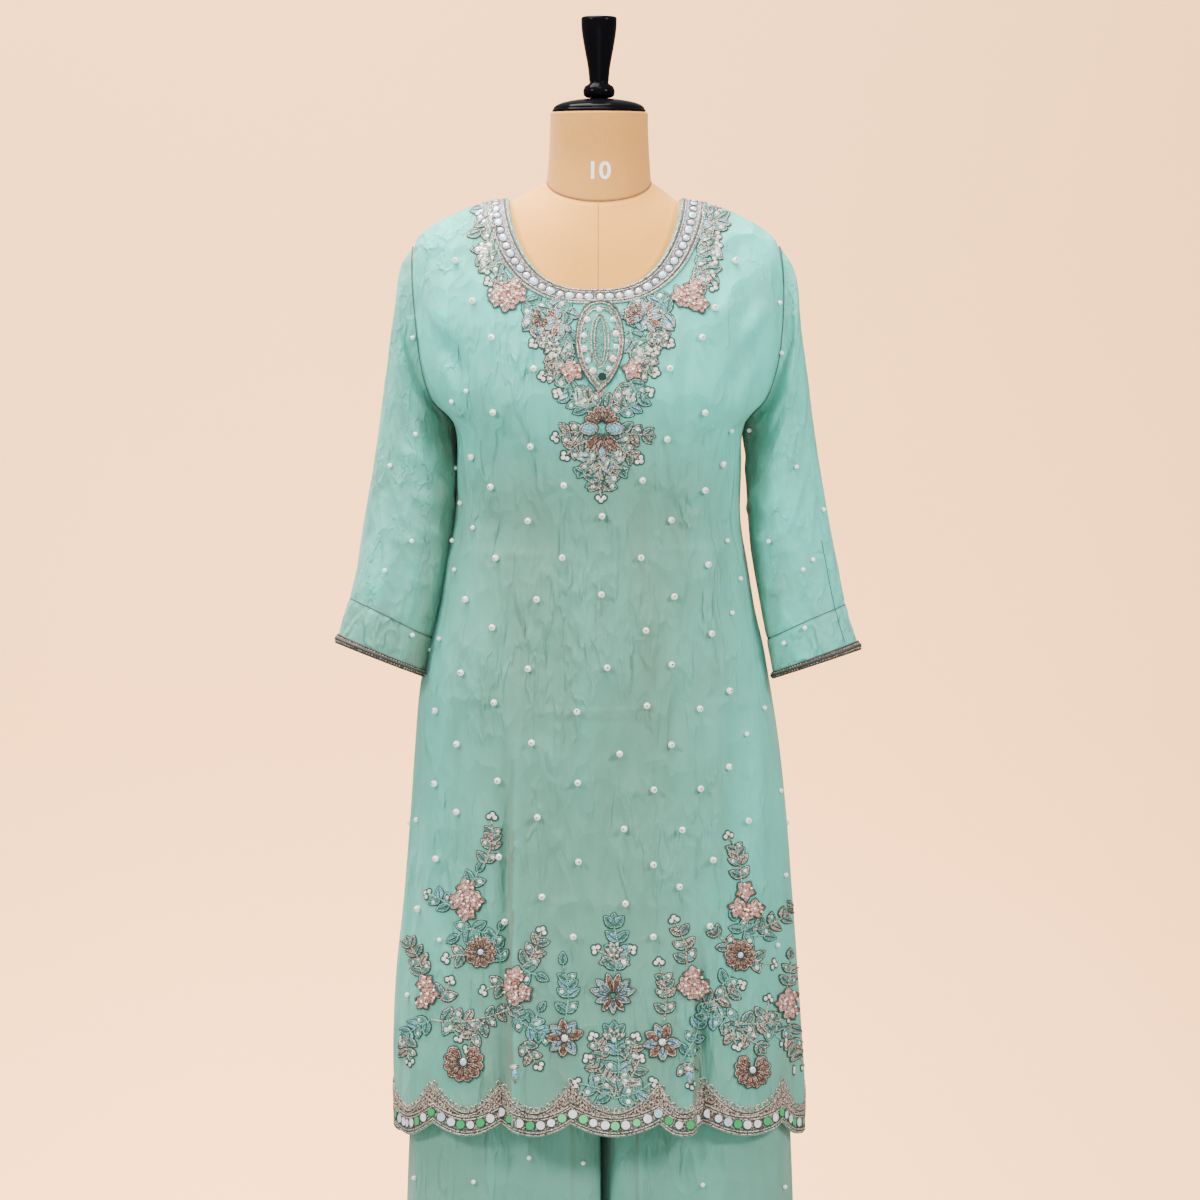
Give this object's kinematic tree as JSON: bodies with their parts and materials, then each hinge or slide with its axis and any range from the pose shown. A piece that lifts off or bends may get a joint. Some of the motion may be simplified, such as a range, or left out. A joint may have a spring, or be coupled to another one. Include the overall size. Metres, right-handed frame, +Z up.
{
  "type": "salwar kameez suit on dress form",
  "caption": "Knee-length kameez with three-quarter sleeves, scooped neck and scalloped lace hem over wide trousers, on a limbless dress form with a round stand.",
  "frame": {"origin": "on the floor, in the underside of the stand's round base, under the middle of the suit", "axes": "+Z up; the suit faces -Y; +X is the wearer's left"},
  "size_m": [0.6291, 0.41, 1.6764],
  "materials": {
    "georgette": "soft crepe georgette, mint green",
    "embroidered_lace": "silver-beige corded lace with stones",
    "form_linen": "smooth linen",
    "black_gloss": "glossy black lacquer",
    "pole_steel": "satin"
  },
  "bodies": {
    "root": {"kameez_front": "georgette", "kameez_back": "georgette", "sleeve_left": "georgette", "sleeve_right": "georgette", "neck_binding": "georgette", "trouser_front_left": "georgette", "trouser_front_right": "georgette", "trouser_back_left": "georgette", "trouser_back_right": "georgette", "waistband": "georgette", "neck_trim": "embroidered_lace", "hem_border_front": "embroidered_lace", "hem_border_back": "embroidered_lace", "cuff_trim_left": "embroidered_lace", "cuff_trim_right": "embroidered_lace", "form_torso": "form_linen", "form_neck": "form_linen", "neck_cap": "black_gloss", "finial": "black_gloss", "stand_base": "black_gloss", "stand_pole": "pole_steel"}
  },
  "joints": []
}
